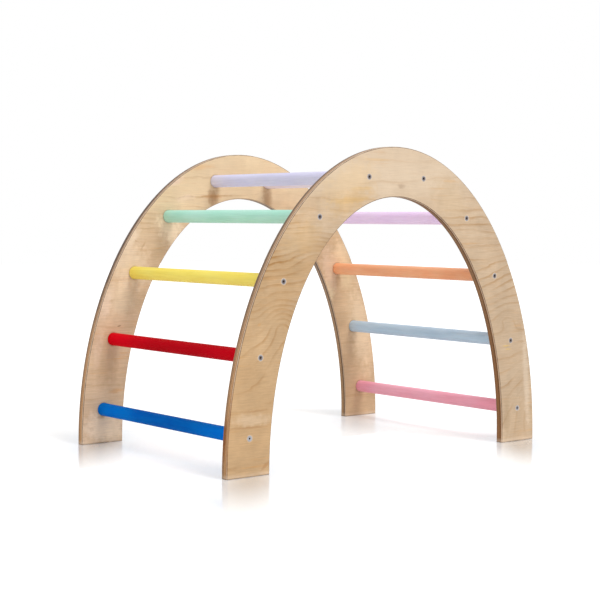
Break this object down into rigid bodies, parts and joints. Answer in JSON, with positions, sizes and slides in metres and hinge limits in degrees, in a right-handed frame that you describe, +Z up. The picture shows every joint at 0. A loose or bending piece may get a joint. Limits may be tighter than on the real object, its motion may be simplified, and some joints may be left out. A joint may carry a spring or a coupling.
{
  "type": "wooden rocker arch",
  "caption": "Free-standing climbing and rocking arch for children: half-oval plywood sides held apart by round painted rungs, each bolted through both sides into threaded inserts.",
  "frame": {"origin": "on the floor, in the middle between the four feet", "axes": "+X along the arch from the left feet to the right feet, +Y along the rungs from the front arch to the back arch, +Z up"},
  "size_m": [0.92, 0.58, 0.685],
  "materials": {
    "birch_ply": "clear satin oil on birch plywood",
    "blue_paint": "blue satin paint on a turned hardwood rod",
    "red_paint": "red satin paint on a turned hardwood rod",
    "yellow_paint": "yellow satin paint on a turned hardwood rod",
    "mint_paint": "mint satin paint on a turned hardwood rod",
    "periwinkle_paint": "periwinkle satin paint on a turned hardwood rod",
    "blush_paint": "blush satin paint on a turned hardwood rod",
    "lilac_paint": "lilac satin paint on a turned hardwood rod",
    "orange_paint": "orange satin paint on a turned hardwood rod",
    "sky_paint": "sky satin paint on a turned hardwood rod",
    "pink_paint": "pink satin paint on a turned hardwood rod",
    "bolt_steel": "bright zinc-plated steel",
    "insert_zinc": "yellow passivated zinc alloy"
  },
  "bodies": {
    "root": {"front_arch": "birch_ply", "back_arch": "birch_ply", "blue_rung": "blue_paint", "red_rung": "red_paint", "yellow_rung": "yellow_paint", "mint_rung": "mint_paint", "periwinkle_rung": "periwinkle_paint", "blush_rung": "blush_paint", "lilac_rung": "lilac_paint", "orange_rung": "orange_paint", "sky_rung": "sky_paint", "pink_rung": "pink_paint", "blue_rung_bolts": "bolt_steel", "red_rung_bolts": "bolt_steel", "yellow_rung_bolts": "bolt_steel", "mint_rung_bolts": "bolt_steel", "periwinkle_rung_bolts": "bolt_steel", "blush_rung_bolts": "bolt_steel", "lilac_rung_bolts": "bolt_steel", "orange_rung_bolts": "bolt_steel", "sky_rung_bolts": "bolt_steel", "pink_rung_bolts": "bolt_steel", "blue_rung_inserts": "insert_zinc", "red_rung_inserts": "insert_zinc", "yellow_rung_inserts": "insert_zinc", "mint_rung_inserts": "insert_zinc", "periwinkle_rung_inserts": "insert_zinc", "blush_rung_inserts": "insert_zinc", "lilac_rung_inserts": "insert_zinc", "orange_rung_inserts": "insert_zinc", "sky_rung_inserts": "insert_zinc", "pink_rung_inserts": "insert_zinc"}
  },
  "joints": []
}
